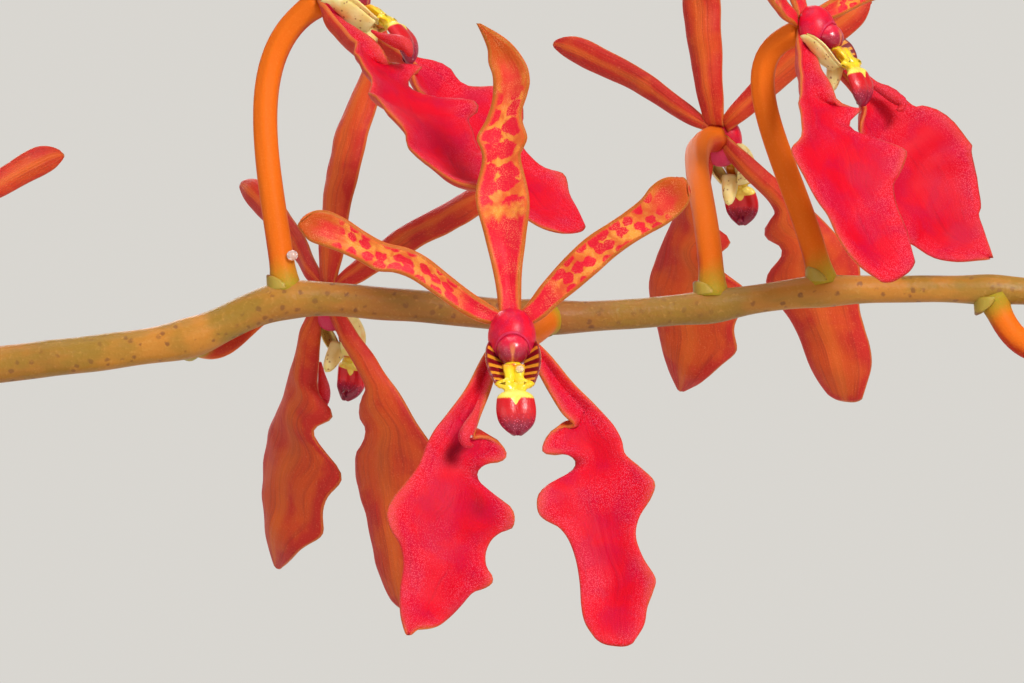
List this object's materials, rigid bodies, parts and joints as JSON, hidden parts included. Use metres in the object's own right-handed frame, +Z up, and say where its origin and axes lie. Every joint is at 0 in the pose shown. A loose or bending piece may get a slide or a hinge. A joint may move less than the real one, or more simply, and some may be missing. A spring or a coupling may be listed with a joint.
{
  "type": "potted orchid in flower",
  "caption": "Potted orchid: an upright stem with strap leaves in two ranks, in a clay pot of bark, under a branched spray of narrow scarlet flowers with a striped lip.",
  "frame": {"origin": "centre of the pot's flat base, on the surface it stands on", "axes": "+Z up; -Y is the front, which the main bloom faces; +X to the right seen from the front"},
  "size_m": [0.2368, 0.1141, 0.4337],
  "materials": {
    "clay": "matte",
    "bark": "matte",
    "leaf": "satin",
    "root": "matte",
    "axis": "satin",
    "tepal": "satin",
    "lip": "satin",
    "bud": "satin"
  },
  "bodies": {
    "root": {"pot": "clay", "bark": "bark", "leafy_stem": "leaf", "root_1": "root", "root_2": "root", "root_3": "root", "root_4": "root", "panicle_axis": "axis", "buds_right": "bud", "buds_left": "bud", "buds_top": "bud", "bloom_01": "tepal", "lip_01": "lip", "bloom_02": "tepal", "lip_02": "lip", "bloom_03": "tepal", "lip_03": "lip", "bloom_04": "tepal", "lip_04": "lip", "bloom_05": "tepal", "lip_05": "lip", "bloom_06": "tepal", "lip_06": "lip", "bloom_07": "tepal", "lip_07": "lip", "bloom_08": "tepal", "lip_08": "lip", "bloom_09": "tepal", "lip_09": "lip", "bloom_10": "tepal", "lip_10": "lip", "bloom_11": "tepal", "lip_11": "lip", "bloom_12": "tepal", "lip_12": "lip", "bloom_13": "tepal", "lip_13": "lip", "bloom_14": "tepal", "lip_14": "lip", "bloom_15": "tepal", "lip_15": "lip", "bloom_16": "tepal", "lip_16": "lip"}
  },
  "joints": []
}
